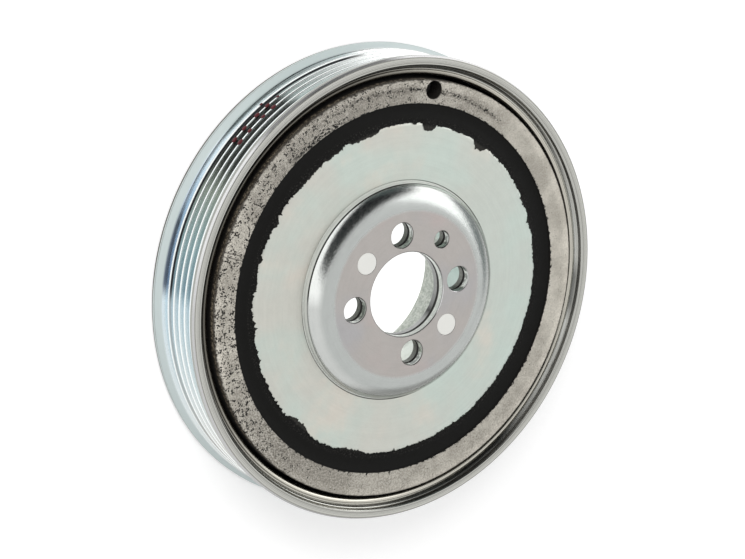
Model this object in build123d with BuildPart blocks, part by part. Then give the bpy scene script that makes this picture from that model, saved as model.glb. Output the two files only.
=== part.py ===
from build123d import *
from math import acos, degrees, radians, tan
import os

# Crankshaft pulley with a torsional vibration damper in its front side.
# Two pressed steel plates meet at the middle, face to face. The rear one is the deep
# cup that carries the belt rim. The front one is the hub of the damper: a rubber ring
# is bonded round its turned-back edge, and a cast-iron ring is bonded round the rubber.
# Z = 0 is the back face of the belt rim, and +Z is the crankshaft axis, away from the engine.

os.makedirs("parts", exist_ok=True)

# Plates and middle, in millimetres
sheet = 3.0  # thickness of both pressed plates
joint_z = 30.2  # plane where the two plates meet
bore_r = 15.0  # centring bore for the crankshaft nose
bore_chamfer = 0.5
bolt_pcd = 43.0
bolt_hole_r = 4.5  # clearance for M8 screws
bolt_count = 4
dowel_r = 3.05
dowel_centre_r = 22.6
dowel_angle = 45
plug_r = 3.85
plug_count = 2
plug_angle = 135  # of the first plug; the other is opposite
hole_chamfer = 0.25

# Belt rim: grooves between two smooth lands
land_r = 82.5
crest_r = 80.7
groove_pitch = 3.56
groove_count = 6
groove_depth = 3.3
groove_angle = 40  # between the two flanks
groove_floor = 0.5  # width of the flat at the bottom of a groove
rear_groove_z = 6.65  # centre of the groove nearest the back
rear_slope = 2.6  # length along Z of the slope from the back land down to the grooves
rear_land_z = 2.4  # rear end of the back land
rear_step = 0.35  # depth of the turned line behind the back land
rear_step_width = 0.3
rear_edge_drop = 0.1  # how much lower the rear edge is than the land
rear_edge_bend = 0.9
rear_face_r = 78.0  # inside of the flat back face of the rim
rear_cone = 2.0  # from that flat in to the web, along the radius
rim_front_z = 28.1
rim_inner_r = 75.5
rim_root_bend = 2.5

# Front lip of the rim, from the outside in
lip_outer_r = 81.95
lip_bevel = 0.9  # length along Z of the bevel outside the lip
lip_inner_r = 79.95  # inside of the flat front face of the lip
lip_steps = ((79.6, 27.6), (79.0, 26.6), (78.6, 26.5), (77.8, 25.5))  # turned steps, r and z
bead_outer_r = 77.4
bead_top_z = 25.8  # rolled edge inside the lip
bead_bend = 1.3
bead_edge_bend = 0.4
bead_gap = 0.4  # width of the line between the bead and the steps
bead_gap_depth = 0.6

# Cup and web of the pulley
cup_inner_r = 27.8  # inside of the deep wall round the middle
web_back_z = 1.0
bend_in = 1.0  # inner radius of the pressed bends
bend_out = bend_in + sheet

# Damper hub
plateau_r = 29.6
dome_base_r = 38.6
dome_rise = 6.0  # from the disc up to the plateau
base_line_width = 0.6  # pressed line round the foot of the dome
base_line_depth = 0.2
hub_r = 60.4  # outside of the turned-back edge
hub_edge_z = 8.5  # where the turned-back edge ends
hub_bend = 2.5
hub_bend_in = 0.5
dome_root_bend = 2.0  # behind the foot of the dome

# Rubber and inertia ring
rubber_r = 65.8
rubber_back_z = 8.5
rubber_outer_drop = 0.3  # how far the rubber's face stays below the disc, at the iron
rubber_inner_drop = 0.1
rubber_sink = 0.6  # the same at the lowest line of its face
film_start = 0.4  # where the film begins, outside the hub's edge
film_crown = 0.6  # where the film is thickest, inside the hub's edge
film_rise = 0.1
film_r = 58.6  # thin film of rubber that laps over the bend
film = 0.25
inertia_r = 74.3
inertia_back_z = 6.0
inertia_rise = 0.2  # front of the iron above the disc
inertia_chamfer = 0.6
balance_r = 3.25  # drilled balancing hole
balance_centre_r = 71.1
balance_angle = 70.8
balance_depth = 7.0

# Worked out from the dimensions above
plateau_z = joint_z + sheet
disc_z = plateau_z - dome_rise  # front face of the damper hub's disc
cup_outer_r = cup_inner_r + sheet
web_front_z = web_back_z + sheet
front_groove_z = rear_groove_z + (groove_count - 1) * groove_pitch
groove_half = groove_floor / 2 + groove_depth * tan(radians(groove_angle / 2))
groove_rear_z = rear_groove_z - groove_half
groove_front_z = front_groove_z + groove_half


def groove_points():
    """Corners of the belt grooves from the front land to the back land."""
    points = [(crest_r, groove_front_z)]
    for i in range(groove_count):
        z = front_groove_z - i * groove_pitch
        if i > 0:
            points.append((crest_r, z + groove_half))
        points.append((crest_r - groove_depth, z + groove_floor / 2))
        points.append((crest_r - groove_depth, z - groove_floor / 2))
        if i < groove_count - 1:
            points.append((crest_r, z - groove_half))
    points.append((crest_r, groove_rear_z))
    return points


def plug_pattern(first_z):
    """Sketch of the two plugs, drawn at the given height."""
    with BuildSketch(Plane.XY.offset(first_z)) as pattern:
        with PolarLocations(bolt_pcd / 2, plug_count, start_angle=plug_angle):
            Circle(plug_r)
    return pattern.sketch


def hole_pattern(first_z):
    """Sketch of the screw, dowel and plug holes that both plates share."""
    with BuildSketch(Plane.XY.offset(first_z)) as pattern:
        with PolarLocations(bolt_pcd / 2, bolt_count):
            Circle(bolt_hole_r)
        with PolarLocations(dowel_centre_r, 1, start_angle=dowel_angle):
            Circle(dowel_r)
    return pattern.sketch + plug_pattern(first_z)


def open_mouths(plate):
    """Edges of the screw and dowel holes of a plate."""
    circles = plate.edges().filter_by(GeomType.CIRCLE)
    return circles.filter_by(lambda edge: edge.radius in (bolt_hole_r, dowel_r))


# Pulley: deep cup, web, rolled rim with the belt grooves
with BuildPart() as pulley:
    with BuildSketch(Plane.XZ) as pulley_section:
        rear_line_z = rear_land_z - rear_step_width
        bead_line_z = bead_top_z - bead_gap_depth
        corners = [
            ((bore_r, joint_z), 0),
            ((cup_outer_r, joint_z), bend_out),
            ((cup_outer_r, web_front_z), bend_in),
            ((rim_inner_r, web_front_z), rim_root_bend),
            ((rim_inner_r, bead_top_z), bead_bend),
            ((bead_outer_r, bead_top_z), bead_edge_bend),
            ((bead_outer_r, bead_line_z), 0),
            ((bead_outer_r + bead_gap, bead_line_z), 0),
        ]
        corners += [(point, 0) for point in reversed(lip_steps)]
        corners += [
            ((lip_inner_r, rim_front_z), 0),
            ((lip_outer_r, rim_front_z), 0),
            ((land_r, rim_front_z - lip_bevel), 0),
            ((land_r, groove_front_z), 0),
        ]
        corners += [(point, 0) for point in groove_points()]
        corners += [
            ((land_r, groove_rear_z - rear_slope), 0),
            ((land_r, rear_land_z), 0),
            ((land_r - rear_step, rear_line_z), 0),
            ((land_r - rear_edge_drop, rear_line_z - rear_step_width), 0),
            ((land_r - rear_edge_drop, 0), rear_edge_bend),
            ((rear_face_r, 0), 0),
            ((rear_face_r - rear_cone, web_back_z), 0),
            ((cup_inner_r, web_back_z), bend_out),
            ((cup_inner_r, joint_z - sheet), bend_in),
            ((bore_r, joint_z - sheet), 0),
        ]
        with BuildLine():
            FilletPolyline(
                *[point for point, _ in corners],
                radius=[bend for _, bend in corners],
                close=True,
            )
        make_face()
    revolve(axis=Axis.Z)
    extrude(hole_pattern(joint_z), amount=-sheet, mode=Mode.SUBTRACT)
    chamfer(open_mouths(pulley), hole_chamfer)
pulley.part.label = "pulley"
export_step(pulley.part, "parts/pulley.step")

# Hub plate: plateau, rounded shoulder, disc and turned-back edge in one pressing
with BuildPart() as hub_plate:
    with BuildSketch(Plane.XZ) as hub_section:
        dome_reach = dome_base_r - plateau_r
        base_line_z = disc_z - base_line_depth
        base_line_r = dome_base_r + base_line_width
        with BuildLine():
            front_dome = EllipticalCenterArc(
                (plateau_r, disc_z), dome_reach, dome_rise, start_angle=0, arc_size=90
            )
            back_dome = EllipticalCenterArc(
                (plateau_r, disc_z),
                dome_reach - sheet,
                dome_rise - sheet,
                start_angle=0,
                arc_size=90,
            )
            FilletPolyline(
                front_dome @ 0,
                (dome_base_r, base_line_z),
                (base_line_r, base_line_z),
                (base_line_r, disc_z),
                (hub_r, disc_z),
                (hub_r, hub_edge_z),
                (hub_r - sheet, hub_edge_z),
                (hub_r - sheet, disc_z - sheet),
                (dome_base_r - sheet, disc_z - sheet),
                back_dome @ 0,
                radius=[0, 0, 0, hub_bend, 0, 0, hub_bend_in, dome_root_bend],
            )
            Polyline(
                front_dome @ 1,
                (bore_r + bore_chamfer, plateau_z),
                (bore_r, plateau_z - bore_chamfer),
                (bore_r, joint_z),
                back_dome @ 1,
            )
        make_face()
    revolve(axis=Axis.Z)
    extrude(hole_pattern(joint_z), amount=sheet, mode=Mode.SUBTRACT)
    chamfer(open_mouths(hub_plate), hole_chamfer)
hub_plate.part.label = "hub_plate"
export_step(hub_plate.part, "parts/hub_plate.step")

# Rubber ring: fills the space round the hub and laps over its bend as a thin film
with BuildPart() as damper_rubber:
    with BuildSketch(Plane.XZ) as rubber_section:
        bend_centre = (hub_r - hub_bend, disc_z - hub_bend)
        film_angle = degrees(acos((film_r - bend_centre[0]) / hub_bend))
        face_outer = (rubber_r, disc_z - rubber_outer_drop)
        face_low = ((hub_r + rubber_r) / 2, disc_z - rubber_sink)
        face_inner = (hub_r + film_start, disc_z - rubber_inner_drop)
        with BuildLine():
            round_bend = CenterArc(bend_centre, hub_bend, 0, film_angle)
            Polyline(
                round_bend @ 0,
                (hub_r, rubber_back_z),
                (rubber_r, rubber_back_z),
                face_outer,
            )
            ThreePointArc(face_outer, face_low, face_inner)
            Polyline(
                face_inner,
                (hub_r - film_crown, disc_z + film_rise),
                round_bend @ 1 + Vector(0, film),
                round_bend @ 1,
            )
        make_face()
    revolve(axis=Axis.Z)
damper_rubber.part.label = "damper_rubber"
export_step(damper_rubber.part, "parts/damper_rubber.step")

# Inertia ring: cast iron, turned on its faces, with one drilled balancing hole
with BuildPart() as inertia_ring:
    inertia_front_z = disc_z + inertia_rise
    with BuildSketch(Plane.XZ) as inertia_section:
        with BuildLine():
            Polyline(
                (rubber_r, inertia_back_z),
                (inertia_r - inertia_chamfer, inertia_back_z),
                (inertia_r, inertia_back_z + inertia_chamfer),
                (inertia_r, inertia_front_z - inertia_chamfer),
                (inertia_r - inertia_chamfer, inertia_front_z),
                (rubber_r, inertia_front_z),
                close=True,
            )
        make_face()
    revolve(axis=Axis.Z)
    with Locations(Plane.XY.offset(inertia_front_z)):
        with PolarLocations(balance_centre_r, 1, start_angle=balance_angle):
            Hole(balance_r, depth=balance_depth)
inertia_ring.part.label = "inertia_ring"
export_step(inertia_ring.part, "parts/inertia_ring.step")

# Joining plugs: two moulded pins that keep the plates together before bolting
with BuildPart() as joining_plugs:
    extrude(plug_pattern(joint_z - sheet), amount=2 * sheet)
joining_plugs.part.label = "joining_plugs"
export_step(joining_plugs.part, "parts/joining_plugs.step")
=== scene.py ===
import math
import random
from functools import partial, reduce

import bpy
from mathutils import Matrix, Vector


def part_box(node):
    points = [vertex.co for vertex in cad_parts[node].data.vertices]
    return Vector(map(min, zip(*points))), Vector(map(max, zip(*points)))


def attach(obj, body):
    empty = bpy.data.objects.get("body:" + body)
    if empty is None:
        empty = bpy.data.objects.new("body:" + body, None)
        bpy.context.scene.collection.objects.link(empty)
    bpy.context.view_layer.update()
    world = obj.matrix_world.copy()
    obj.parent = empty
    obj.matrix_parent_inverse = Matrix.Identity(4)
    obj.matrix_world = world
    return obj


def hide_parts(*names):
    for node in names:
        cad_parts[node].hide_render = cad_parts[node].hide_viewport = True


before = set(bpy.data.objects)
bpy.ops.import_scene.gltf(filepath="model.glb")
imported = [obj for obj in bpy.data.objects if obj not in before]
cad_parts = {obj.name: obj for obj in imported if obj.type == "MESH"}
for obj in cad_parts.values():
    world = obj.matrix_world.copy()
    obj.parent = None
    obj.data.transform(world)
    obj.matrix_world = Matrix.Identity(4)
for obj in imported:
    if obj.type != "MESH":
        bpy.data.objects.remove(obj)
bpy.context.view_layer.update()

mm = 0.001
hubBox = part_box("hub_plate")
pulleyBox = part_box("pulley")


def pick(*objects):
    bpy.ops.object.select_all(action="DESELECT")
    for obj in objects:
        obj.select_set(True)
    bpy.context.view_layer.objects.active = objects[0]


def joinAll(name, pieces):
    pick(*pieces)
    bpy.ops.object.join()
    bpy.context.object.name = name
    return bpy.context.object


def onRing(radius, degrees, z=0):
    # a place round the axis: radius and z in mm, the result in metres
    angle = math.radians(degrees)
    return (radius * mm * math.cos(angle), radius * mm * math.sin(angle), z * mm)


def roundCorners(corners, steps=3):
    # corners are (r, z, round radius) in mm; each round becomes a short arc
    points = []
    for i, (r, z, radius) in enumerate(corners):
        here = Vector((r, z))
        if radius == 0:
            points.append(here)
            continue
        toBefore = (Vector(corners[i - 1][:2]) - here).normalized()
        toAfter = (Vector(corners[(i + 1) % len(corners)][:2]) - here).normalized()
        half = toBefore.angle(toAfter) / 2
        centre = here + (toBefore + toAfter).normalized() * (radius / math.sin(half))
        start = here + toBefore * (radius / math.tan(half)) - centre
        end = here + toAfter * (radius / math.tan(half)) - centre
        turn = start.angle_signed(end)
        for k in range(steps + 1):
            angle = -turn * k / steps
            c, s = math.cos(angle), math.sin(angle)
            points.append(centre + Vector((start.x * c - start.y * s, start.x * s + start.y * c)))
    return points


def lathe(name, section, steps):
    # draws the section point by point in the XZ plane, closes it and spins it round Z
    bpy.ops.object.select_all(action="DESELECT")
    bpy.ops.mesh.primitive_plane_add(size=mm, location=(0, 0, 0))
    piece = bpy.context.object
    piece.name = name
    bpy.ops.object.mode_set(mode="EDIT")
    bpy.ops.mesh.select_all(action="SELECT")
    bpy.ops.mesh.merge(type="CENTER")
    here = Vector((0, 0, 0))
    for i, (r, z) in enumerate(section):
        there = Vector((r * mm, 0, z * mm))
        if i == 0:
            bpy.ops.transform.translate(value=there - here)
        else:
            bpy.ops.mesh.extrude_region_move(TRANSFORM_OT_translate={"value": there - here})
        here = there
    if section[0][0] > 0:  # a section that starts on the axis closes by itself
        bpy.ops.object.mode_set(mode="OBJECT")
        last = len(piece.data.vertices) - 1
        for vertex in piece.data.vertices:
            vertex.select = vertex.index in (0, last)
        bpy.ops.object.mode_set(mode="EDIT")
        bpy.ops.mesh.edge_face_add()
    bpy.ops.mesh.select_all(action="SELECT")
    bpy.ops.mesh.spin(steps=steps, angle=2 * math.pi, center=(0, 0, 0), axis=(0, 0, 1))
    bpy.ops.mesh.select_all(action="SELECT")
    bpy.ops.mesh.remove_doubles(threshold=1e-6)
    bpy.ops.mesh.normals_make_consistent(inside=False)
    bpy.ops.object.mode_set(mode="OBJECT")
    return piece


def settle(piece):
    # puts the place into the mesh, so that the object sits at the origin
    pick(piece)
    bpy.ops.object.transform_apply(location=True, rotation=True, scale=True)


def cut(piece, cutter):
    pick(piece)
    hole = piece.modifiers.new("cut", "BOOLEAN")
    hole.object = cutter
    hole.operation = "DIFFERENCE"
    hole.solver = "EXACT"
    bpy.ops.object.modifier_apply(modifier=hole.name)
    bpy.data.objects.remove(cutter, do_unlink=True)


def smooth(piece, degrees=32):
    pick(piece)
    bpy.ops.object.shade_smooth_by_angle(angle=math.radians(degrees))
    weighted = piece.modifiers.new("weighted", "WEIGHTED_NORMAL")
    weighted.keep_sharp = True
    weighted.weight = 80
    bpy.ops.object.modifier_apply(modifier=weighted.name)


def dress(piece, material):
    piece.data.materials.clear()
    piece.data.materials.append(material)


def addNode(tree, kind, **settings):
    node = tree.nodes.new("ShaderNode" + kind)
    for name, value in settings.items():
        setattr(node, name, value)
    return node


def feed(socket, value):
    # numbers and colours are set, another socket is linked, and None changes nothing
    if isinstance(value, tuple):
        socket.default_value = (*value, 1)
    elif isinstance(value, (int, float)):
        socket.default_value = value
    elif value is not None:
        socket.id_data.links.new(value, socket)


def feedAll(node, values):
    for label, value in values.items():
        feed(node.inputs[label], value)


def treeOf(*values):
    # the node tree of the first socket among the values
    return next(value.id_data for value in values if isinstance(value, bpy.types.NodeSocket))


def newMaterial(name, kind="BsdfPrincipled"):
    material = bpy.data.materials.new(name)
    material.use_nodes = True
    material.node_tree.nodes.clear()
    output = addNode(material.node_tree, "OutputMaterial")
    shader = addNode(material.node_tree, kind)
    feed(output.inputs[0], shader.outputs[0])
    return material, shader


def finishShader(shader, colour, rough, normal=None, metal=0.0, specular=0.5):
    feedAll(shader, {"Base Color": colour, "Roughness": rough, "Normal": normal, "Metallic": metal,
                     "Specular IOR Level": specular})


def newGroup(name, inputs, outputs):
    group = bpy.data.node_groups.new(name, "ShaderNodeTree")
    for label, kind, value in inputs:
        group.interface.new_socket(label, in_out="INPUT", socket_type=kind).default_value = value
    for label, kind in outputs:
        group.interface.new_socket(label, in_out="OUTPUT", socket_type=kind)
    return group, group.nodes.new("NodeGroupInput"), group.nodes.new("NodeGroupOutput")


def useGroup(tree, group, **values):
    node = addNode(tree, "Group", node_tree=group)
    feedAll(node, values)
    return node


def math2(operation, a, b=0.0, c=0.0, clamp=False):
    node = addNode(treeOf(a, b, c), "Math", operation=operation, use_clamp=clamp)
    for socket, value in zip(node.inputs, (a, b, c)):
        feed(socket, value)
    return node.outputs[0]


def both(*masks):
    # the product of all masks
    return reduce(partial(math2, "MULTIPLY"), masks)


def either(*masks):
    # the strongest of the masks
    return reduce(partial(math2, "MAXIMUM"), masks)


def rest(mask):
    return math2("SUBTRACT", 1.0, mask)


def gap(value, middle):
    # how far a value is from the middle
    return math2("ABSOLUTE", math2("SUBTRACT", value, middle))


def mapRange(value, low, high, toLow=0.0, toHigh=1.0, smoothStep=True):
    node = addNode(value.id_data, "MapRange", interpolation_type="SMOOTHSTEP" if smoothStep else "LINEAR")
    feedAll(node, {"Value": value, "From Min": low, "From Max": high, "To Min": toLow, "To Max": toHigh})
    return node.outputs["Result"]


def band(value, middle, half, soft):
    # 1 within half of the middle, fading to 0 over the soft distance
    return mapRange(gap(value, middle), half + soft, half)


def mixColour(factor, a, b, blend="MIX"):
    node = addNode(treeOf(factor, a, b), "Mix", data_type="RGBA", blend_type=blend)
    for label, value in (("Factor", factor), ("A", a), ("B", b)):
        feed(next(s for s in node.inputs if s.name == label and (s.type == "RGBA") == (label != "Factor")), value)
    return next(s for s in node.outputs if s.type == "RGBA")


def paint(colour, over, *masks):
    # lays the second colour over the first where all masks are 1
    return mixColour(both(*masks), colour, over)


def shadeBy(colour, level):
    # multiplies a colour by a grey level
    grey = addNode(level.id_data, "CombineColor")
    for socket in grey.inputs:
        feed(socket, level)
    return mixColour(1.0, colour, grey.outputs[0], "MULTIPLY")


def noise(vector, scale, detail=4.0, rough=0.55):
    node = addNode(vector.id_data, "TexNoise")
    feedAll(node, {"Vector": vector, "Scale": scale, "Detail": detail, "Roughness": rough})
    return node.outputs["Fac"]


def side(polar, degrees):
    # 1 at the given angle round the axis, 0 opposite
    turned = math2("MULTIPLY_ADD", polar.outputs["Angle"], 2 * math.pi, -math.radians(degrees))
    return math2("MULTIPLY_ADD", math2("COSINE", turned), 0.5, 0.5)


def byAngle(polar, stops):
    # a colour or a grey level that changes round the axis, given at a few angles from 0 up
    node = addNode(polar.id_data, "ValToRGB")
    elements = node.color_ramp.elements
    elements.remove(elements[1])
    for i, (degrees, value) in enumerate([*stops, (360, stops[0][1])]):
        stop = elements[0] if i == 0 else elements.new(degrees / 360)
        stop.position = degrees / 360
        stop.color = (*value, 1) if isinstance(value, tuple) else (value, value, value, 1)
    feed(node.inputs["Fac"], math2("FRACT", polar.outputs["Angle"]))
    return node.outputs["Color"]


def bump(height, strength, distance, normal=None):
    node = addNode(height.id_data, "Bump")
    feedAll(node, {"Strength": strength, "Distance": distance, "Height": height, "Normal": normal})
    return node.outputs["Normal"]


# polar group: radius and height in mm, angle in turns, a vector that runs round the axis, place in mm
polarGroup, _, polarOut = newGroup(
    "polar", [],
    [("Radius", "NodeSocketFloat"), ("Height", "NodeSocketFloat"), ("Angle", "NodeSocketFloat"),
     ("Round", "NodeSocketVector"), ("Place", "NodeSocketVector")],
)
turnLength = 14.0  # length of one turn in the round vector: fine across, long along
coords = addNode(polarGroup, "TexCoord")
split = addNode(polarGroup, "SeparateXYZ")
feed(split.inputs[0], coords.outputs["Object"])
x, y, z = split.outputs
radiusMm = both(math2("SQRT", math2("ADD", both(x, x), both(y, y))), 1 / mm)
heightMm = both(z, 1 / mm)
turns = math2("DIVIDE", math2("ARCTAN2", y, x), 2 * math.pi)
roundVector = addNode(polarGroup, "CombineXYZ")
for socket, value in zip(roundVector.inputs, (radiusMm, heightMm, both(turns, turnLength))):
    feed(socket, value)
placeVector = addNode(polarGroup, "VectorMath", operation="SCALE")
feed(placeVector.inputs["Scale"], 1 / mm)
feed(placeVector.inputs[0], coords.outputs["Object"])
feedAll(polarOut, {"Radius": radiusMm, "Height": heightMm, "Angle": turns,
                   "Round": roundVector.outputs[0], "Place": placeVector.outputs[0]})

# zinc group: faint drifts of green, cream and rose over a pale base
zincGroup, zincIn, zincOut = newGroup(
    "zincTint",
    [("Base", "NodeSocketColor", (0.6, 0.61, 0.59, 1)), ("Cool", "NodeSocketColor", (0.5, 0.62, 0.6, 1)),
     ("Warm", "NodeSocketColor", (0.66, 0.58, 0.56, 1)), ("Amount", "NodeSocketFloat", 0.5)],
    [("Colour", "NodeSocketColor")],
)
place = useGroup(zincGroup, polarGroup).outputs["Place"]
tinted = zincIn.outputs["Base"]
for label, drift in (("Cool", mapRange(noise(place, 0.035, 3.0), 0.42, 0.68)),
                     ("Warm", mapRange(noise(place, 0.05, 4.0), 0.5, 0.72))):
    tinted = paint(tinted, zincIn.outputs[label], drift, zincIn.outputs["Amount"])
feed(zincOut.inputs["Colour"], tinted)

# turning group: fine lines that run round the axis
turningGroup, turningIn, turningOut = newGroup(
    "turningLines", [("Fineness", "NodeSocketFloat", 3.0)], [("Height", "NodeSocketFloat")])
scaled = addNode(turningGroup, "VectorMath", operation="SCALE")
feed(scaled.inputs[0], useGroup(turningGroup, polarGroup).outputs["Round"])
feed(scaled.inputs["Scale"], turningIn.outputs["Fineness"])
feed(turningOut.inputs["Height"], noise(scaled.outputs[0], 1.0, 3.0, 0.6))
print("node groups ready")


def startMaterial(name, finish):
    # within makes a mask from the radii and heights named in the finish, and around makes a colour
    # or a level that changes round the axis
    material, shader = newMaterial(name)
    polar = useGroup(material.node_tree, polarGroup)

    def within(*names):
        return both(*(mapRange(polar.outputs["Radius" if name[-1] == "R" else "Height"], *finish[name])
                      for name in names))

    return material, shader, polar, within, lambda name: byAngle(polar, finish[name])


def turningLines(polar, fineness):
    return useGroup(polar.id_data, turningGroup, Fineness=fineness).outputs["Height"]


# a name that ends in R or Z holds the radii or heights in mm between which a colour comes in
hubFinish = {
    "disc": (0.58, 0.58, 0.53),
    "discRightShade": (0.545, 0.585, 0.54),
    "discCool": (0.53, 0.63, 0.58),
    "discWarm": (0.67, 0.61, 0.54),
    "rightAngle": 345,
    "plateau": (0.445, 0.42, 0.4),
    "plateauCool": (0.415, 0.415, 0.43),
    "plateauWarm": (0.48, 0.42, 0.405),
    "plateauR": (30.3, 28.9),
    "plateauZ": (32.6, 33.1),
    "dome": (0.47, 0.49, 0.475),
    "domeR": (39.1, 38.7),
    "domeFoot": ((0, 0.46), (45, 0.5), (85, 0.52), (112, 0.7), (135, 0.95), (165, 0.95), (174, 0.62),
                 (230, 0.56), (270, 0.56), (325, 0.62)),
    "footTint": (0.975, 1.0, 0.97),
    "footR": (33.6, 36.2),
    "footEdge": (0.72, 0.74, 0.7),
    "footEdgeR": (38.2, 38.3),
    "footEndR": (39.3, 39.2),
    "line": (0.02, 0.02, 0.018),
    "innerLine": ((0, 0), (40, 0.1), (62, 0.7), (85, 1), (168, 1), (174, 0.35), (300, 0.25), (330, 0)),
    "innerLineAt": 38.14,
    "innerLineZ": (27.3, 27.6),
    "outerLine": ((0, 0.75), (50, 0.8), (110, 0.45), (168, 0.5), (174, 0.95), (300, 0.8)),
    "outerLineAt": 39.12,
    "wall": (0.5, 0.52, 0.49),
    "wallDark": (0.2, 0.21, 0.2),
    "wallZ": (32.9, 32.2),
    "holesR": (28.5, 27.5),
    "boreR": (16.0, 15.6),
    "jointZ": (30.95, 30.75),
    "edge": ((0, 0.5), (20, 0.08), (317, 0.08), (322, 0.95), (350, 0.95)),
    "edgeR": (28.9, 28.7),
    "edgeAt": 33.03,
    "flatRough": 0.42,
    "domeRough": 0.2,
}


def makeHubMaterial():
    f = hubFinish
    material, shader, polar, within, around = startMaterial("zinc_hub", f)
    radius, height, place = (polar.outputs[label] for label in ("Radius", "Height", "Place"))

    def tint(base, kind, amount):
        return useGroup(polar.id_data, zincGroup, Base=base, Cool=f[kind + "Cool"], Warm=f[kind + "Warm"],
                        Amount=amount).outputs["Colour"]

    waver = math2("MULTIPLY_ADD", noise(place, 0.3, 3.0), 0.8, -0.4)
    onPlateau = both(mapRange(math2("ADD", radius, waver), *f["plateauR"]), within("plateauZ"))
    inDome = within("domeR")
    # painted light: the disc takes another shade towards its right side
    disc = paint(f["disc"], f["discRightShade"], mapRange(side(polar, f["rightAngle"]), 0.35, 1.0))
    # painted light and shade round the dome's foot, and a painted light ring at the foot's edge
    foot = mixColour(1.0, around("domeFoot"), f["footTint"], "MULTIPLY")
    dome = paint(f["dome"], foot, within("footR"))
    dome = paint(dome, f["footEdge"], within("footEdgeR"))
    colour = paint(tint(disc, "disc", 0.6), dome, inDome)
    colour = paint(colour, tint(f["plateau"], "plateau", 0.7), onPlateau)
    # walls of the holes: streaked, but nearly plain in the bore
    nearAxis = within("holesR")
    streaks = either(mapRange(noise(place, 0.55, 3.0), 0.42, 0.58), both(within("boreR"), 0.8))
    colour = paint(colour, paint(f["wallDark"], f["wall"], streaks), within("wallZ"), nearAxis)
    # painted shade and highlight on the edges of the holes, changing round the axis
    colour = paint(colour, around("edge"), within("edgeR"), band(height, f["edgeAt"], 0.07, 0.04), 0.8)
    # dark lines at the joint of the plates, and painted shade lines on both sides of the foot's groove, stronger
    # on some sides
    jointAndShadeLines = either(
        both(nearAxis, within("jointZ")),
        both(band(radius, f["innerLineAt"], 0.1, 0.07), within("innerLineZ"), around("innerLine")),
        both(band(radius, f["outerLineAt"], 0.11, 0.08), around("outerLine")))
    colour = paint(colour, f["line"], jointAndShadeLines)
    lines = turningLines(polar, 1.3)
    grain = noise(place, 1.9, 6.0, 0.65)
    smear = math2("MULTIPLY_ADD", lines, 0.5, both(noise(place, 0.22, 4.0), 0.5))
    dull = either(both(within("footEdgeR", "footEndR"), 0.7), jointAndShadeLines)
    onDome = math2("SUBTRACT", inDome, onPlateau, clamp=True)
    rough = math2("ADD", mapRange(onDome, 0, 1, f["flatRough"], f["domeRough"]),
                  mapRange(grain, 0.35, 0.65, -0.05, 0.07))
    finishShader(shader, shadeBy(colour, mapRange(smear, 0.3, 0.7, 0.965, 1.03)), rough,
                 bump(lines, 0.35, 0.00002, bump(grain, 0.5, 0.00006)), rest(dull))
    return material


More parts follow.
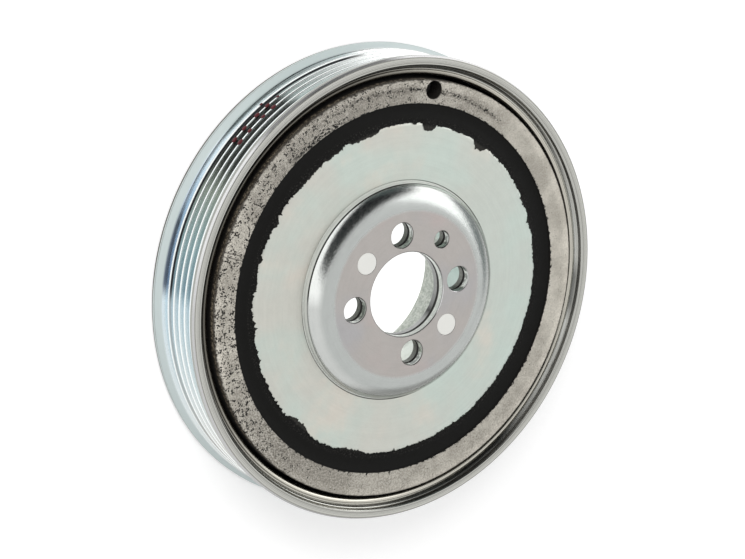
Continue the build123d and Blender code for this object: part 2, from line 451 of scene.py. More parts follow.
rimFinish = {
    "backLand": (0.56, 0.63, 0.625),
    "slopeZ": (4.4, 5.2),
    "grooves": ((0, (0.62, 0.63, 0.6)), (85, (0.74, 0.76, 0.75)), (110, (0.6, 0.66, 0.65)),
                (114, (0.16, 0.17, 0.165)), (134, (0.17, 0.18, 0.17)), (142, (0.47, 0.51, 0.47)),
                (155, (0.46, 0.56, 0.57)), (167, (0.4, 0.5, 0.54)), (171, (0.64, 0.73, 0.77)),
                (192, (0.68, 0.75, 0.76)), (212, (0.7, 0.7, 0.67)), (235, (0.6, 0.6, 0.57))),
    "rearGroove": ((0, (0.62, 0.63, 0.6)), (84, (0.74, 0.76, 0.75)), (90, (0.42, 0.48, 0.48)),
                   (124, (0.36, 0.42, 0.42)), (130, (0.72, 0.8, 0.84)), (146, (0.5, 0.6, 0.7)),
                   (152, (0.13, 0.16, 0.2)), (167, (0.1, 0.13, 0.18)), (171, (0.7, 0.8, 0.85)),
                   (205, (0.72, 0.77, 0.77)), (235, (0.62, 0.62, 0.6))),
    "rearGrooveZ": (8.5, 8.4),
    "rearGrooveDeep": ((0, (0.62, 0.63, 0.6)), (84, (0.74, 0.76, 0.75)), (112, (0.92, 0.96, 0.97)),
                       (136, (0.86, 0.93, 0.97)), (147, (0.6, 0.72, 0.82)), (167, (0.4, 0.5, 0.62)),
                       (171, (0.7, 0.8, 0.85)), (235, (0.62, 0.62, 0.6))),
    "deepR": (80.15, 79.75),
    "crest": (0.92, 0.95, 0.94),
    "crestR": (80.42, 80.55),
    "crestZ": (6.5, 7),
    "crestDark": (0.02, 0.022, 0.025),  # the strip in front of the rearmost crest
    "crestDarkR": (79.6, 79.9),
    "crestDarkZ": (8.5, 8.6),
    "crestDarkEndZ": (9.5, 9.3),
    "crestShade": ((0, 0), (84, 0), (91, 1), (168, 1), (171, 0.35), (210, 0.3), (225, 0)),
    "front": (0.5, 0.5, 0.465),
    "frontZ": (25.9, 26.15),
    "frontLand": (0.36, 0.365, 0.34),
    "frontLandR": (82.2, 82.35),
    "frontLandZ": (26.0, 26.3),
    "bevel": ((0, 0.72), (30, 0.55), (52, 0.85), (82, 0.85), (89, 0.2), (123, 0.28), (130, 0.9), (155, 0.88),
              (172, 0.62), (215, 0.55), (250, 0.22), (272, 0.25), (285, 0.5), (330, 0.62)),
    "bevelR": (81.95, 82.05),
    "bevelZ": (27.1, 27.3),
    "lipInside": ((0, 0.92), (35, 0.86), (58, 0.28), (95, 0.3), (112, 0.95), (190, 0.95), (207, 0.4),
                  (228, 0.75), (240, 1), (262, 0.9), (269, 0.35), (300, 0.3), (308, 0.9), (336, 0.95),
                  (341, 0.35), (349, 0.35), (354, 0.92)),
    "lipInsideR": (79.4, 79.25),
    "lipInsideZ": (25.2, 25.4),
    "pale": (0.56, 0.56, 0.52),
    "paleR": (78.3, 78.5),
    "paleFace": ((0, 0.3), (40, 0), (98, 0), (106, 1), (196, 1), (206, 0)),
    "bead": (0.52, 0.5, 0.44),
    "beadR": (77.9, 77.5),
    "beadZ": (24.8, 25.1),
    "grimeAndShade": (0.06, 0.055, 0.045),
    "landEdgeR": (82.1, 82.3),
    "landEdgeAt": 25.45,
    "landEdgeAngle": 130,
    "besideBeadR": (78.3, 78.0),
    "besideBeadZ": (24.6, 25.0),
    "besideBeadAngle": 140,
    "lipMiddle": 80.95,
    "lipLineAt": 0.86,  # from the middle to both sides
    "lipLineZ": (27.8, 28.0),
    "rearDirt": (0.11, 0.1, 0.085),
    "rearDirtR": (81.0, 81.4),
    "rearEdgeWidth": ((0, 0.9), (95, 0.95), (118, 1.35), (165, 1.25), (172, 0.95)),
    "rearLineAt": 2.05,
    "cup": (0.36, 0.385, 0.35),
    "cupPale": (0.55, 0.57, 0.53),
    "cupR": (60.0, 50.0),
    "cupTop": ((0, (0.52, 0.62, 0.59)), (45, (0.5, 0.58, 0.54)), (120, (0.7, 0.74, 0.7)),
               (270, (0.8, 0.82, 0.77)), (320, (0.6, 0.66, 0.63))),
    "cupTopZ": (13.0, 17.0),
    "holeWall": (0.22, 0.225, 0.21),
    "holeWallZ": (27.3, 27.6),
    "plateR": (27.0, 26.6),
    "boreWall": ((0, 0.42), (60, 0.5), (250, 0.5), (292, 0.62), (306, 0.5), (318, 0.1), (330, 0.3), (345, 0.4)),
    "boreR": (16.0, 15.6),
    "joint": (0.012, 0.012, 0.01),
    "jointZ": (29.5, 29.7),
    "ringScale": 3.6,
    "ringZ": (24.5, 25.5),
    "landR": (80.7, 81.0),
    "landZ": (5.1, 4.8),
}


def makeRimMaterial():
    f = rimFinish
    material, shader, polar, within, around = startMaterial("zinc_rim", f)
    radius, height, place = (polar.outputs[label] for label in ("Radius", "Height", "Place"))
    # painted shade and reflection: the grooves' colours change round the axis, and again deeper in the rearmost
    # groove
    rear = paint(around("rearGroove"), around("rearGrooveDeep"), within("deepR"))
    colour = paint(around("grooves"), rear, within("rearGrooveZ"))
    # painted shadow on the strip in front of the rearmost crest, on part of the way round
    shadowStrip = both(within("crestDarkR", "crestDarkZ", "crestDarkEndZ"), around("crestShade"))
    colour = paint(colour, f["crestDark"], shadowStrip)
    # painted highlight along the tops of the crests
    colour = paint(colour, f["crest"], within("crestR", "crestZ"))
    colour = paint(f["backLand"], colour, within("slopeZ"))
    colour = paint(colour, f["front"], within("frontZ"))
    colour = paint(colour, f["frontLand"], within("frontLandR", "frontLandZ"))
    # painted highlight and shade on the bevel, changing round the axis
    colour = paint(colour, around("bevel"), within("bevelR", "bevelZ"))
    # painted shade along the land's edge, on one side
    colour = paint(colour, f["grimeAndShade"], within("landEdgeR"), band(height, f["landEdgeAt"], 0.12, 0.12),
                   mapRange(side(polar, f["landEdgeAngle"]), 0.6, 0.9))
    innerSlope = within("lipInsideR", "lipInsideZ")
    # painted reflection: the lip's inner slope lighter and darker in turn round the axis
    colour = paint(colour, mixColour(1.0, colour, around("lipInside"), "MULTIPLY"), innerSlope)
    # painted light: the lip's steps made pale on one side
    paleFace = both(innerSlope, within("paleR"), around("paleFace"))
    colour = paint(colour, f["pale"], paleFace)
    colour = paint(colour, f["bead"], within("beadR", "beadZ"))
    # painted shade beside the bead on one side, dark lines on the edges of the lip's face, and painted shade at
    # the rear edge
    colour = paint(colour, f["grimeAndShade"], within("besideBeadR", "besideBeadZ"),
                   mapRange(side(polar, f["besideBeadAngle"]), 0.45, 0.95), 0.85)
    colour = paint(colour, f["grimeAndShade"], band(gap(radius, f["lipMiddle"]), f["lipLineAt"], 0.05, 0.11),
                   within("lipLineZ"), 0.6)
    # painted shade at the rear edge, wider on some sides, and in the line of the rear step
    rearEdge = mapRange(math2("SUBTRACT", height, around("rearEdgeWidth")), 0.15, 0.0)
    rearLine = both(band(height, f["rearLineAt"], 0.1, 0.2), 0.55)
    rearDirt = both(either(rearEdge, rearLine), within("rearDirtR"))
    colour = paint(colour, f["rearDirt"], rearDirt, 0.92)
    # the deep cup, with painted light and shade round its upper wall, and the walls of the holes, in painted
    # shade that changes round the bore
    inCup = within("cupR")
    cupGrain = noise(place, 0.9, 6.0, 0.7)
    cup = paint(f["cup"], f["cupPale"], mapRange(cupGrain, 0.4, 0.6))
    colour = paint(colour, paint(cup, around("cupTop"), within("cupTopZ")), inCup)
    inPlate = within("plateR")
    wall = paint(f["holeWall"], around("boreWall"), within("boreR"))
    colour = paint(colour, wall, inPlate, within("holeWallZ"))
    joint = both(inPlate, within("jointZ"))
    colour = paint(colour, f["joint"], joint)
    # turned rings on the front
    turned = addNode(polar.id_data, "CombineXYZ")
    for socket, value in zip(turned.inputs, (radius, height)):
        feed(socket, both(value, f["ringScale"]))
    rings = mapRange(noise(turned.outputs[0], 1.0, 2.0, 0.6), 0.35, 0.65, 0.74, 1.12)
    rings = mapRange(within("ringZ"), 0, 1, 1.0, rings, smoothStep=False)
    onLand = within("landZ", "landR")
    metal = both(mapRange(onLand, 0, 1, 1.0, 0.35), rest(rearDirt), rest(shadowStrip),
                 mapRange(paleFace, 0, 1, 1.0, 0.15), rest(joint))
    lines = turningLines(polar, 3.4)
    rough = math2("ADD", mapRange(lines, 0.3, 0.7, 0.17, 0.3), both(onLand, 0.2))
    rough = math2("ADD", either(rough, rearDirt, shadowStrip), both(inCup, 0.28))
    finishShader(shader, shadeBy(colour, rings), rough,
                 bump(lines, 0.3, 0.00002, bump(both(cupGrain, inCup), 0.6, 0.0003)), metal)
    return material


ironFinish = {
    "light": (0.58, 0.55, 0.485),
    "mid": (0.42, 0.395, 0.345),
    "gritDark": (0.12, 0.105, 0.085),
    "gritPale": (0.78, 0.75, 0.68),
    "gritty": ((0, 0.15), (40, 0.2), (60, 0.45), (110, 0.45), (200, 0.42), (212, 0.85), (236, 0.5), (300, 0.35)),
    "pit": (0.02, 0.018, 0.015),
    "pitted": ((0, 0), (50, 0), (75, 0.5), (125, 0.8), (200, 0.9), (235, 0.25), (290, 0.1), (330, 0)),
    "streak": (0.1, 0.09, 0.075),
    "streakPath": ((0, 0.71), (45, 0.69), (62, 0.7), (95, 0.712), (130, 0.71)),  # radius in decimetres
    "streakShare": ((0, 0), (44, 0), (50, 1), (100, 0.9), (118, 0)),
    "ridge": (0.12, 0.11, 0.1),
    "ridgeScale": 11.0,
    "ridgeAngle": 118,
    "dirt": (0.03, 0.024, 0.017),
    "dirtAngle": 135,
    "rust": (0.26, 0.215, 0.155),
    "crumb": (0.012, 0.012, 0.011),
    "crumbAt": 67.1,
    "crumbShare": ((0, 0), (101, 0), (105, 1), (121, 1), (125, 0)),
    "scratch": (0.1, 0.09, 0.08),
    "scratchAngle": 155.4,
    "scratchOff": 0.75,  # each of the two lines from the middle between them
    "scratchR": (66.2, 66.8),
    "deep": (0.008, 0.007, 0.006),
    "deepZ": (26.4, 24.8),
    "hole": (0.025, 0.022, 0.019),
    "holeR": (74.1, 73.9),
    "holeZ": (27.3, 26.9),
    "holeEndZ": (15.0, 16.0),
    "sideR": (73.9, 74.1),
    "sideZ": (27.05, 26.65),
    "lift": ((0, 1.1), (40, 0.96), (90, 0.84), (125, 0.9), (180, 1.22), (212, 0.8), (240, 0.9), (300, 1)),
    "liftR": (70.8, 72.6),
    "innerEdge": 65.8,
    "outerEdge": 74.3,
}


def makeIronMaterial():
    f = ironFinish
    material, shader, polar, within, around = startMaterial("cast_iron", f)
    radius, place = polar.outputs["Radius"], polar.outputs["Place"]
    grit = noise(place, 1.5, 5.0, 0.85)
    gritty = around("gritty")
    colour = paint(f["light"], f["mid"], mapRange(noise(place, 0.09, 4.0, 0.6), 0.35, 0.65))
    colour = paint(colour, f["gritDark"], mapRange(grit, 0.47, 0.56), gritty)
    colour = paint(colour, f["gritPale"], mapRange(grit, 0.46, 0.38), gritty)
    # a dirty streak along the face, and pits that are larger in it
    away = math2("ABSOLUTE", math2("MULTIPLY_ADD", around("streakPath"), -100.0, radius))
    streak = both(mapRange(away, 1.5, 0.2), around("streakShare"))
    colour = paint(colour, f["streak"], streak, mapRange(grit, 0.4, 0.56), 0.75)
    cells = addNode(polar.id_data, "TexVoronoi")
    feedAll(cells, {"Scale": 1.5, "Vector": place})
    pitSize = math2("SUBTRACT", mapRange(noise(place, 0.6, 3.0), 0.38, 0.62, -0.1, 0.3), 0.14)
    pitSize = math2("MULTIPLY_ADD", either(around("pitted"), streak), 0.4, pitSize)
    pits = mapRange(math2("SUBTRACT", cells.outputs["Distance"], pitSize), 0.06, -0.03)
    colour = paint(colour, f["pit"], pits)
    # turning marks on one quarter
    colour = paint(colour, f["ridge"], mapRange(side(polar, f["ridgeAngle"]), 0.93, 0.99),
                   mapRange(math2("SINE", both(radius, f["ridgeScale"])), 0.1, 0.6),
                   mapRange(noise(place, 0.5), 0.4, 0.6), 0.6)
    # dirt and painted shade on the outer edge, wider on the pitted side
    waver = math2("MULTIPLY_ADD", noise(place, 0.7, 5.0, 0.7), 2.0, -1.0)
    dirtStart = math2("SUBTRACT", f["outerEdge"] - 0.3, mapRange(side(polar, f["dirtAngle"]), 0.4, 1.0, 0.0, 0.5))
    dirt = mapRange(math2("SUBTRACT", math2("ADD", radius, waver), dirtStart), -0.2, 0.5)
    colour = paint(colour, f["dirt"], dirt, 0.92)
    # flecks and crumbs of rubber on the inner edge
    fleckReach = mapRange(noise(place, 0.8, 4.0, 0.7), 0.48, 0.72, 0.0, 1.1)
    flecks = mapRange(math2("SUBTRACT", radius, fleckReach), f["innerEdge"] + 0.12, f["innerEdge"])
    crumbs = both(mapRange(noise(place, 1.1, 3.0, 0.6), 0.46, 0.52), band(radius, f["crumbAt"], 0.5, 0.7),
                  around("crumbShare"))
    colour = paint(colour, f["crumb"], either(flecks, crumbs))
    # a double scratch across the face
    turned = math2("SUBTRACT", both(polar.outputs["Angle"], 2 * math.pi), math.radians(f["scratchAngle"]))
    scratchGap = math2("ABSOLUTE", both(turned, radius))
    colour = paint(colour, f["scratch"], band(scratchGap, f["scratchOff"], 0.1, 0.2), within("scratchR"), 0.75)
    # painted shade inside the drilled hole; the rough outer side dark and rusty, with painted shadow lower down
    # towards the gap
    inHole = within("holeZ", "holeR", "holeEndZ")
    colour = paint(colour, f["hole"], inHole)
    crust = paint(f["dirt"], f["rust"], mapRange(noise(place, 0.9, 6.0, 0.75), 0.46, 0.62))
    crust = paint(crust, f["deep"], within("deepZ"))
    onSide = within("sideZ", "sideR")
    colour = paint(colour, crust, onSide)
    # the turned face is lighter near its outer edge, and painted light makes it lighter and darker round the axis
    lift = both(mapRange(radius, *f["liftR"], 0.9, 1.05), around("lift"))
    worn = either(pits, dirt, onSide)
    finishShader(shader, shadeBy(colour, lift), mapRange(worn, 0, 1, 0.46, 0.85),
                 bump(math2("SUBTRACT", both(grit, 0.35), pits), 0.7, 0.00025),
                 mapRange(either(worn, inHole), 0, 1, 0.75, 0.1))
    return material


rubberFinish = {
    "dark": (0.005, 0.005, 0.0047),
    "light": (0.009, 0.0088, 0.008),
    "filmEdge": (0.028, 0.027, 0.024),
    "filmEdgeR": (58.6, 57.8),
    "torn": (0.06, 0.057, 0.052),
    "filmR": (61.2, 60.2),
}


def makeRubberMaterial():
    f = rubberFinish
    material, shader, polar, within, _ = startMaterial("rubber", f)
    place = polar.outputs["Place"]
    mottle = noise(place, 0.7, 6.0, 0.65)
    torn = both(within("filmR"), mapRange(noise(place, 1.6, 4.0, 0.7), 0.54, 0.66))
    colour = paint(f["dark"], f["light"], mottle)
    # painted glint along the film's edge
    colour = paint(colour, f["filmEdge"], within("filmEdgeR"))
    colour = paint(colour, f["torn"], torn, 0.7)
    finishShader(shader, colour, mapRange(mottle, 0.3, 0.7, 0.5, 0.68),
                 bump(math2("ADD", mottle, both(torn, 0.8)), 0.6, 0.0003), specular=0.09)
    return material


plugFinish = {"dark": (0.8, 0.8, 0.76), "light": (0.84, 0.84, 0.8), "grain": 0.8, "rough": 0.45,
              "specular": 0.5, "bump": 0.2}
markFinish = {"dark": (0.065, 0.008, 0.012), "light": (0.115, 0.02, 0.024), "grain": 1.2, "rough": 0.5,
              "specular": 0.3, "bump": 0.0}


def makeMottledMaterial(name, f):
    material, shader, polar, *_ = startMaterial(name, f)
    mottle = noise(polar.outputs["Place"], f["grain"], 4.0)
    normal = bump(mottle, f["bump"], 0.0001) if f["bump"] else None
    finishShader(shader, paint(f["dark"], f["light"], mottle), f["rough"], normal, specular=f["specular"])
    return material


hubMaterial = makeHubMaterial()
rimMaterial = makeRimMaterial()
ironMaterial = makeIronMaterial()
rubberMaterial = makeRubberMaterial()
plugMaterial = makeMottledMaterial("plug_plastic", plugFinish)
markMaterial = makeMottledMaterial("red_mark", markFinish)
print("materials ready")


# holes of the hub plate and the pulley, in mm and degrees as all the forms below
holes = {
    "backZ": 27.2,
    "jointZ": 30.2,
    "frontZ": hubBox[1][2] / mm,
    "boltR": 4.5,
    "boltRing": 21.5,
    "boltAngles": (0, 90, 180, 270),
    "dowelR": 3.05,
    "dowelRing": 22.6,
    "dowelAngle": 45,
    "plugR": 3.85,
    "plugGap": 0.06,
    "plugAngles": (135, 315),
    "edge": 0.25,
    "jointEdge": 0.45,
    "plugEdge": 0.05,
    "past": 2,  # how far the cutters reach past the plates
}


def holeCutter(radius, ring, angle, edge, jointEdge, steps=48):
    h = holes
    cutter = lathe("cutter", [
        (0, h["backZ"] - h["past"]),
        (radius + edge + h["past"], h["backZ"] - h["past"]),
        (radius, h["backZ"] + edge),
        (radius, h["jointZ"] - jointEdge),
        (radius + jointEdge, h["jointZ"]),
        (radius, h["jointZ"] + jointEdge),
        (radius, h["frontZ"] - edge),
        (radius + edge + h["past"], h["frontZ"] + h["past"]),
        (0, h["frontZ"] + h["past"]),
    ], steps)
    cutter.location = onRing(ring, angle)
    settle(cutter)
    return cutter


def drillPlate(piece):
    # all holes of a plate are cut in one go, because the cutters stand apart
    h = holes
    cutters = [holeCutter(h["boltR"], h["boltRing"], angle, h["edge"], h["jointEdge"], 64)
               for angle in h["boltAngles"]]
    cutters.append(holeCutter(h["dowelR"], h["dowelRing"], h["dowelAngle"], h["edge"], h["jointEdge"]))
    cutters += [holeCutter(h["plugR"] + h["plugGap"], h["boltRing"], angle, h["plugEdge"], h["plugEdge"])
                for angle in h["plugAngles"]]
    cut(piece, joinAll("cutters", cutters))


# pulley: cup, web and rolled rim
pulleyForm = {
    "sheet": 3.0,
    "boreR": 15.0,
    "boreEdge": 0.3,
    "cupR": 27.8,
    "cupBend": 4.0,
    "webBackZ": 1.0,
    "rimInnerR": 75.5,
    "beadR": 77.4,
    "beadTopZ": 25.8,
    "gapZ": 25.2,
    "lipSteps": ((77.8, 25.2, 0), (77.8, 25.5, 0.15), (78.6, 26.5, 0.15), (78.8, 26.6, 0.1), (79.2, 27.7, 0.15)),
    "lipInnerR": 79.5,
    "lipOuterR": 81.95,
    "bevel": 0.9,
    "frontZ": 28.1,
    "landR": pulleyBox[1][0] / mm,
    "crestR": 80.7,
    "pitch": 3.56,
    "grooves": 6,
    "depth": 3.3,
    "flank": 20,
    "floor": 0.5,
    "rearGrooveZ": 6.65,
    "rearSlope": 2.6,
    "rearLandZ": 2.4,
    "rearLineZ": 2.1,
    "rearLineDepth": 0.35,
    "rearEdgeZ": 1.8,
    "rearEdgeDrop": 0.1,
    "rearFaceR": 78.0,
    "rearConeR": 76.0,
    "steps": 384,
}


def pulleySection():
    # each corner is r, z and the radius of its round
    p, h = pulleyForm, holes
    top = p["floor"] / 2 + p["depth"] * math.tan(math.radians(p["flank"]))
    valley = p["crestR"] - p["depth"]
    frontGroove = p["rearGrooveZ"] + (p["grooves"] - 1) * p["pitch"]
    cupOuterR = p["cupR"] + p["sheet"]
    webFrontZ = p["webBackZ"] + p["sheet"]
    rearEdgeR = p["landR"] - p["rearEdgeDrop"]
    corners = [
        (p["boreR"], h["jointZ"], p["boreEdge"]),
        (cupOuterR, h["jointZ"], p["cupBend"]),
        (cupOuterR, webFrontZ, 1.0),
        (p["rimInnerR"], webFrontZ, 2.5),
        (p["rimInnerR"], p["beadTopZ"], 1.3),
        (p["beadR"], p["beadTopZ"], 0.4),
        (p["beadR"], p["gapZ"], 0),
        *p["lipSteps"],
        (p["lipInnerR"], p["frontZ"], 0.12),
        (p["lipOuterR"], p["frontZ"], 0.15),
        (p["landR"], p["frontZ"] - p["bevel"], 0.2),
        (p["landR"], frontGroove + top, 0.15),
        (p["crestR"], frontGroove + top, 0),
    ]
    for i in range(p["grooves"]):
        z = frontGroove - i * p["pitch"]
        if i > 0:
            corners.append((p["crestR"], z + top, 0.25))
        corners.append((valley, z + p["floor"] / 2, 0.2))
        corners.append((valley, z - p["floor"] / 2, 0.2))
        if i < p["grooves"] - 1:
            corners.append((p["crestR"], z - top, 0.25))
    corners += [
        (p["crestR"], p["rearGrooveZ"] - top, 0.4),
        (p["landR"], p["rearGrooveZ"] - top - p["rearSlope"], 0.08),
        (p["landR"], p["rearLandZ"], 0.05),
        (p["landR"] - p["rearLineDepth"], p["rearLineZ"], 0),
        (rearEdgeR, p["rearEdgeZ"], 0.1),
        (rearEdgeR, 0, 0.9),
        (p["rearFaceR"], 0, 0.3),
        (p["rearConeR"], p["webBackZ"], 0.5),
        (p["cupR"], p["webBackZ"], p["cupBend"]),
        (p["cupR"], h["backZ"], 1.0),
        (p["boreR"], h["backZ"], p["boreEdge"]),
    ]
    return roundCorners(corners)


pulley = lathe("pulley_steel", pulleySection(), pulleyForm["steps"])
drillPlate(pulley)
smooth(pulley)
dress(pulley, rimMaterial)
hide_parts("pulley")
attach(pulley, "root")
print("pulley", len(pulley.data.polygons))


# hub plate: plateau, dome, disc and turned-back edge
hubForm = {
    "sheet": 3.0,
    "plateauR": 29.6,
    "domeR": 38.6,
    "rise": 6.0,
    "edgeR": 60.4,
    "edgeZ": 8.5,
    "bend": 2.5,
    "grooveWidth": 0.6,
    "grooveDepth": 0.2,
    "domeSteps": 18,
    "backSteps": 8,
    "steps": 288,
}
discZ = holes["frontZ"] - hubForm["rise"]


def hubSection():
    f, h, boreR = hubForm, holes, pulleyForm["boreR"]
    reach = f["domeR"] - f["plateauR"]
    grooveZ = discZ - f["grooveDepth"]
    grooveR = f["domeR"] + f["grooveWidth"]
    backR, backZ = f["edgeR"] - f["sheet"], discZ - f["sheet"]
    quarter = math.pi / 2
    section = []
    for k in range(f["domeSteps"] + 1):
        a = quarter * (1 - k / f["domeSteps"])
        section.append((f["plateauR"] + reach * math.cos(a), discZ + f["rise"] * math.sin(a)))
    section += roundCorners([
        (f["domeR"], grooveZ, 0.05),
        (grooveR, grooveZ, 0.05),
        (grooveR, discZ, 0.1),
        (f["edgeR"], discZ, f["bend"]),
        (f["edgeR"], f["edgeZ"], 0.3),
        (backR, f["edgeZ"], 0.3),
        (backR, backZ, 0.5),
        (f["domeR"] - f["sheet"], backZ, 1.2),
    ], 6)
    for k in range(f["backSteps"] + 1):
        a = quarter * k / f["backSteps"]
        section.append((f["plateauR"] + (reach - f["sheet"]) * math.cos(a),
                        discZ + (f["rise"] - f["sheet"]) * math.sin(a)))
    return section + [
        (boreR + 0.3, h["jointZ"]),
        (boreR, h["jointZ"] + 0.3),
        (boreR, h["frontZ"] - 0.5),
        (boreR + 0.15, h["frontZ"] - 0.2),
        (boreR + 0.5, h["frontZ"]),
    ]


hubPlate = lathe("hub_pressing", hubSection(), hubForm["steps"])
drillPlate(hubPlate)
smooth(hubPlate)
dress(hubPlate, hubMaterial)
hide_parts("hub_plate")
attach(hubPlate, "root")
print("hub plate", len(hubPlate.data.polygons))


# inertia ring: turned iron with one drilled hole
ironForm = {
    "innerR": 65.8,
    "outerR": 74.3,
    "backZ": 6.0,
    "frontZ": discZ + 0.2,
    "edge": 0.6,
    "innerEdge": 0.2,
    "holeR": 3.25,
    "holeRing": 70.7,
    "holeAngle": 72.4,
    "holeDepth": 7.0,
    "drillTip": 1.8,
    "steps": 360,
}


def makeIronRing():
    f = ironForm
    front = f["frontZ"]
    ring = lathe("iron_ring", roundCorners([
        (f["innerR"], f["backZ"], f["innerEdge"]),
        (f["outerR"], f["backZ"], f["edge"]),
        (f["outerR"], front, f["edge"]),
        (f["innerR"], front, f["innerEdge"]),
    ]), f["steps"])
    drill = lathe("drill", [
        (0, front - f["holeDepth"] - f["drillTip"]),
        (f["holeR"], front - f["holeDepth"]),
        (f["holeR"], front - 0.15),
        (f["holeR"] + 1.15, front + 1.0),
        (0, front + 1.0),
    ], 48)
    drill.location = onRing(f["holeRing"], f["holeAngle"])
    settle(drill)
    cut(ring, drill)
    smooth(ring)
    return ring


ironRing = makeIronRing()
dress(ironRing, ironMaterial)
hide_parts("inertia_ring")
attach(ironRing, "root")
print("inertia ring", len(ironRing.data.polygons))


# rubber ring with its ragged film
rubberForm = {
    "innerR": hubForm["edgeR"],
    "outerR": ironForm["innerR"],
    "backZ": 8.5,
    "outerDrop": 0.3,
    "faceDrop": 0.25,
    "sink": 0.42,
    "faceSteps": 8,
    "filmR": 58.75,
    "filmThick": 0.22,
    "filmDrop": 0.5,  # lowest place of the film
    "filmSunk": 0.02,
    "filmSteps": 7,
    "tornFrom": 0.3,  # inside innerR
    "steps": 1440,
    "seed": 11,
    # pairs of span and depth for the torn edge, the long waves first
    "tears": ((14, 0.2), (4, 0.2), (1.5, 0.22), (0.7, 0.2)),
    "spikes": 240,
    "spikeReach": 0.6,
    "spikeWidth": (0.25, 0.6),
    "spikeSide": (185, 55),  # where every other spike gathers, and how widely
    # angle, half width in degrees and reach of the longest tongues
    "tongues": ((0, 5, 0.5), (10, 3.5, 0.9), (18, 3, 0.7), (48, 3.2, 1.9), (71.5, 3.0, 2.5), (98, 7, 1.5),
                (112, 6, 0.7), (124, 8, 1.0), (142, 1.6, 1.0), (163, 3, 0.6), (178, 3, 0.6), (220, 6, 1.3),
                (245, 7, 0.8), (270, 6, 0.6)),
}


def bendHeight(r):
    # height of the hub plate's skin under the film
    f = hubForm
    start = f["edgeR"] - f["bend"]
    if r <= start:
        return discZ
    return discZ - f["bend"] + math.sqrt(max(f["bend"] ** 2 - (r - start) ** 2, 0))


def makeRaggedEdge(steps):
    # how far the film's edge lies outside filmR at each step round the ring
    f = rubberForm
    rng = random.Random(f["seed"])
    edge = [0.0] * steps

    def reachIn(middle, width, reach, power):
        for k in range(steps):
            away = abs((k * 360 / steps - middle + 180) % 360 - 180) / width
            if away < 1:
                edge[k] -= reach * (1 - away ** power)

    for span, depth in f["tears"]:
        i = 0
        value = rng.uniform(-depth, depth)
        while i < steps:
            width = max(1, int(steps / 360 * rng.uniform(0.3, 1.0) * span))
            target = rng.uniform(-depth, depth)
            for k in range(min(width, steps - i)):
                edge[i + k] += value + (target - value) * min(1, (k + 1) / width * 1.6)
            value = target
            i += width
    for i in range(f["spikes"]):
        middle = rng.gauss(*f["spikeSide"]) if i % 2 else rng.uniform(0, 360)
        width = rng.uniform(*f["spikeWidth"])
        reachIn(middle, width, f["spikeReach"] * rng.uniform(0.25, 1) ** 2, 1)
    for middle, width, reach in f["tongues"]:
        reachIn(middle, width, reach, 3)
    return edge


def makeRubber():
    f = rubberForm
    section = [
        (f["innerR"], f["backZ"]),
        (f["outerR"], f["backZ"]),
        (f["outerR"], discZ - f["outerDrop"]),
    ]
    for k in range(1, f["faceSteps"]):
        t = k / f["faceSteps"]
        section.append((f["outerR"] - (f["outerR"] - f["innerR"]) * t,
                        discZ - f["faceDrop"] - f["sink"] * math.sin(math.pi * t)))
    for k in range(f["filmSteps"] + 1):
        r = f["innerR"] - (f["innerR"] - f["filmR"]) * k / f["filmSteps"]
        section.append((r, max(bendHeight(r), discZ - f["filmDrop"]) + f["filmThick"]))
    section.append((f["filmR"], bendHeight(f["filmR"]) - f["filmSunk"]))
    ring = lathe("rubber_ring", section, f["steps"])
    # the film's points move along the radius, over the plate's skin
    edge = makeRaggedEdge(f["steps"])
    start = f["innerR"] - f["tornFrom"]
    for vertex in ring.data.vertices:
        x, y, z = (c / mm for c in vertex.co)
        r = math.hypot(x, y)
        if r < start and z > discZ - 2:
            k = round(math.degrees(math.atan2(y, x)) % 360 / 360 * f["steps"]) % f["steps"]
            newR = min(r + edge[k] * (start - r) / (start - f["filmR"]), start)
            newZ = z + bendHeight(newR) - bendHeight(r)
            vertex.co = (x / r * newR * mm, y / r * newR * mm, newZ * mm)
    smooth(ring, 50)
    return ring


rubber = makeRubber()
dress(rubber, rubberMaterial)
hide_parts("damper_rubber")
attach(rubber, "root")
print("rubber", len(rubber.data.polygons))


def makePlugs():
    h = holes
    plugs = []
    for angle in h["plugAngles"]:
        plug = lathe("plug", roundCorners([
            (0, h["backZ"], 0),
            (h["plugR"], h["backZ"], 0.2),
            (h["plugR"], h["frontZ"], 0.15),
            (0, h["frontZ"], 0),
        ]), 64)
        plug.location = onRing(h["boltRing"], angle)
        settle(plug)
        plugs.append(plug)
    joined = joinAll("white_plugs", plugs)
    smooth(joined)
    return joined


plugs = makePlugs()
dress(plugs, plugMaterial)
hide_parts("joining_plugs")
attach(plugs, "root")
print("plugs", len(plugs.data.polygons))


# red inspection dabs on two of the crests
markForm = {
    "crestZ": (11.99, 15.55),
    "angles": ((116.6, 120.1, 124.6, 128.3), (116.4, 119.9, 124.7, 128.3)),
    "extra": ((113.1, 11.9), (116.9, 8.6)),  # angle and height of two small ones
    "extraSize": 0.6,
    "sizes": (0.85, 1.15),
    "thick": 0.42,
    "long": 1.15,
    "wide": 0.8,
    "uneven": 0.12,
    "sunk": 0.05,
    "seed": 3,
}


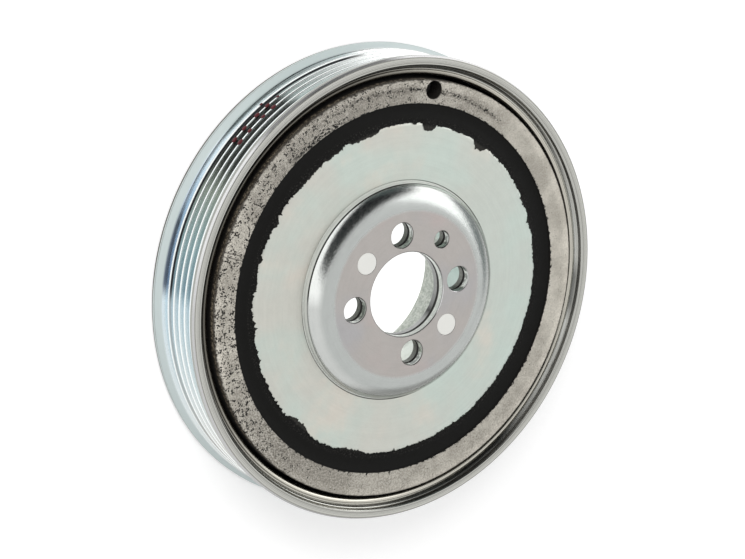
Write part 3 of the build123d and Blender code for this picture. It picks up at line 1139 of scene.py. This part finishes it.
def makeMarks():
    m = markForm
    rng = random.Random(m["seed"])
    places = [(angle, z, rng.uniform(*m["sizes"]))
              for z, angles in zip(m["crestZ"], m["angles"]) for angle in angles]
    places += [(angle, z, m["extraSize"]) for angle, z in m["extra"]]
    marks = []
    for i, (angle, z, size) in enumerate(places):
        bpy.ops.object.select_all(action="DESELECT")
        bpy.ops.mesh.primitive_uv_sphere_add(segments=20, ring_count=12, radius=mm)
        mark = bpy.context.object
        bpy.ops.object.mode_set(mode="EDIT")
        bpy.ops.mesh.select_all(action="SELECT")
        bpy.ops.transform.vertex_random(offset=m["uneven"] * mm, seed=i + 1)
        bpy.ops.object.mode_set(mode="OBJECT")
        mark.scale = (m["thick"] * size, m["long"] * size, m["wide"] * size)
        mark.rotation_euler = (0, 0, math.radians(angle))
        mark.location = onRing(pulleyForm["crestR"] - m["sunk"], angle, z)
        settle(mark)
        marks.append(mark)
    joined = joinAll("red_marks", marks)
    bpy.ops.object.shade_smooth()
    return joined


marks = makeMarks()
dress(marks, markMaterial)
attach(marks, "root")
print("marks", len(marks.data.polygons))


# floor, light and camera, in metres
cameraSetting = {
    "place": (-0.5526941, 0.3719603, 0.8882026),
    "right": (0.82782673, -0.07881031, 0.55542042),
    "up": (0.25038467, 0.93790052, -0.24010441),
    "lens": 152.165,
    "sensor": 36,
    "clip": (0.05, 30),
}
cameraRight = Vector(cameraSetting["right"])
cameraUp = Vector(cameraSetting["up"])
cameraBack = cameraRight.cross(cameraUp)

floorSetting = {
    "size": 12,
    "z": -0.00005,  # just under the part
    "colour": (0.8, 0.8, 0.8),
    "rough": 0.9,
    "glow": 0.42,  # what the floor shows by itself, round the part
    # the brighter glow under the open middle is painted light that takes out the part's shadow there
    "boreGlow": 0.97,  # the same under the open middle
    "boreR": (0.045, 0.0585),
}

lightSetting = {
    "world": 0.6,
    "keyPower": 26,
    "keySize": 1.2,
    "keyPlace": (-0.75, 1.5, 1.35),
}

# reflecting cards: direction and long side as right, up and back of the camera,
# half angles along and across, level, tint, and the distance where it differs
cards = {
    "darkCard": ((0.335, 0.51, 0.79), (0.316, 0.73, -0.602), 51, 31, 0.02, (0.85, 0.95, 1.0)),
    "topCard": ((0.28, 0.95, 0.03), (1, 0, 0), 24, 29, 0.12, (0.8, 1.0, 1.0)),
    "whiteCard": ((0.9, 0.38, -0.08), (-0.30, 0.593, -0.627), 36, 25, 2.4, (1, 1, 1)),
    "streakCard": ((0.95, 0.12, -0.29), (-0.206, -0.47, -0.858), 13, 26, 0.3, (0.9, 1.0, 1.0), 1.3),
    "lowCard": ((0.25, -0.82, -0.52), (1, 0, 0.3), 36, 25, 0.46, (1.0, 1.0, 0.98)),
}
cardBorder = 0.68  # where a card's soft border begins


def whiteRays(tree):
    # 1 for the rays that show the white round the part
    path = addNode(tree, "LightPath")
    seen = path.outputs["Is Camera Ray"]
    for label in ("Is Glossy Ray", "Is Transmission Ray"):
        seen = math2("ADD", seen, path.outputs[label], clamp=True)
    return seen


def makeFloor():
    f = floorSetting
    bpy.ops.object.select_all(action="DESELECT")
    bpy.ops.mesh.primitive_plane_add(size=f["size"], location=(0, 0, f["z"]))
    floor = bpy.context.object
    floor.name = "floor"
    material, shader = newMaterial("pale_floor")
    tree = material.node_tree
    finishShader(shader, f["colour"], f["rough"], specular=0.0)
    length = addNode(tree, "VectorMath", operation="LENGTH")
    feed(length.inputs[0], addNode(tree, "TexCoord").outputs["Object"])
    glow = mapRange(length.outputs["Value"], *f["boreR"], f["boreGlow"], f["glow"])
    feedAll(shader, {"Emission Color": (1, 1, 1), "Emission Strength": both(whiteRays(tree), glow)})
    dress(floor, material)


def fromCamera(v):
    return (cameraRight * v[0] + cameraUp * v[1] + cameraBack * v[2]).normalized()


def makeCard(name, direction, longSide, along, across, level, tint, distance=1.5):
    # seen in reflections only, with a soft border that fades into the white round it
    towards = fromCamera(direction)
    longWay = fromCamera(longSide)
    longWay = (longWay - towards * longWay.dot(towards)).normalized()
    bpy.ops.object.select_all(action="DESELECT")
    bpy.ops.mesh.primitive_plane_add(size=2)
    card = bpy.context.object
    card.name = name
    card.scale = (distance * math.tan(math.radians(along)), distance * math.tan(math.radians(across)), 1)
    card.rotation_euler = Matrix((longWay, towards.cross(longWay), towards)).transposed().to_euler()
    card.location = towards * distance
    material, blend = newMaterial(name, "MixShader")
    tree = material.node_tree
    glow = addNode(tree, "Emission")
    feedAll(glow, {"Color": tint, "Strength": level})
    split = addNode(tree, "SeparateXYZ")
    feed(split.inputs[0], addNode(tree, "TexCoord").outputs["Object"])
    inside = [mapRange(math2("ABSOLUTE", split.outputs[i]), 1.0, cardBorder) for i in (0, 1)]
    feed(blend.inputs[0], both(*inside))
    feed(blend.inputs[1], addNode(tree, "BsdfTransparent").outputs[0])
    feed(blend.inputs[2], glow.outputs[0])
    dress(card, material)
    for rays in ("camera", "diffuse", "shadow", "transmission"):
        setattr(card, "visible_" + rays, False)


def makeWorld():
    world = bpy.data.worlds.new("studio")
    bpy.context.scene.world = world
    world.use_nodes = True
    tree = world.node_tree
    tree.nodes.clear()
    background = addNode(tree, "Background")
    strength = mapRange(whiteRays(tree), 0, 1, lightSetting["world"], 1.0, smoothStep=False)
    feedAll(background, {"Color": (1, 1, 1), "Strength": strength})
    feed(addNode(tree, "OutputWorld").inputs[0], background.outputs[0])


def makeKeyLight():
    s = lightSetting
    lamp = bpy.data.lights.new("key", "AREA")
    lamp.energy = s["keyPower"]
    lamp.size = s["keySize"]
    key = bpy.data.objects.new("key", lamp)
    bpy.context.collection.objects.link(key)
    key.location = s["keyPlace"]
    key.rotation_euler = Vector(s["keyPlace"]).to_track_quat("Z", "Y").to_euler()
    key.visible_glossy = False
    key.visible_camera = False


def makeCamera():
    c = cameraSetting
    camera = bpy.data.objects.new("camera", bpy.data.cameras.new("camera"))
    bpy.context.collection.objects.link(camera)
    turn = Matrix((cameraRight, cameraUp, cameraBack)).transposed().to_4x4()
    camera.matrix_world = Matrix.Translation(c["place"]) @ turn
    camera.data.lens = c["lens"]
    camera.data.sensor_width = c["sensor"]
    camera.data.clip_start, camera.data.clip_end = c["clip"]
    bpy.context.scene.camera = camera


makeFloor()
for cardName, values in cards.items():
    makeCard(cardName, *values)
makeWorld()
makeKeyLight()
makeCamera()
bpy.context.scene.view_settings.view_transform = "Standard"
print("stage ready")
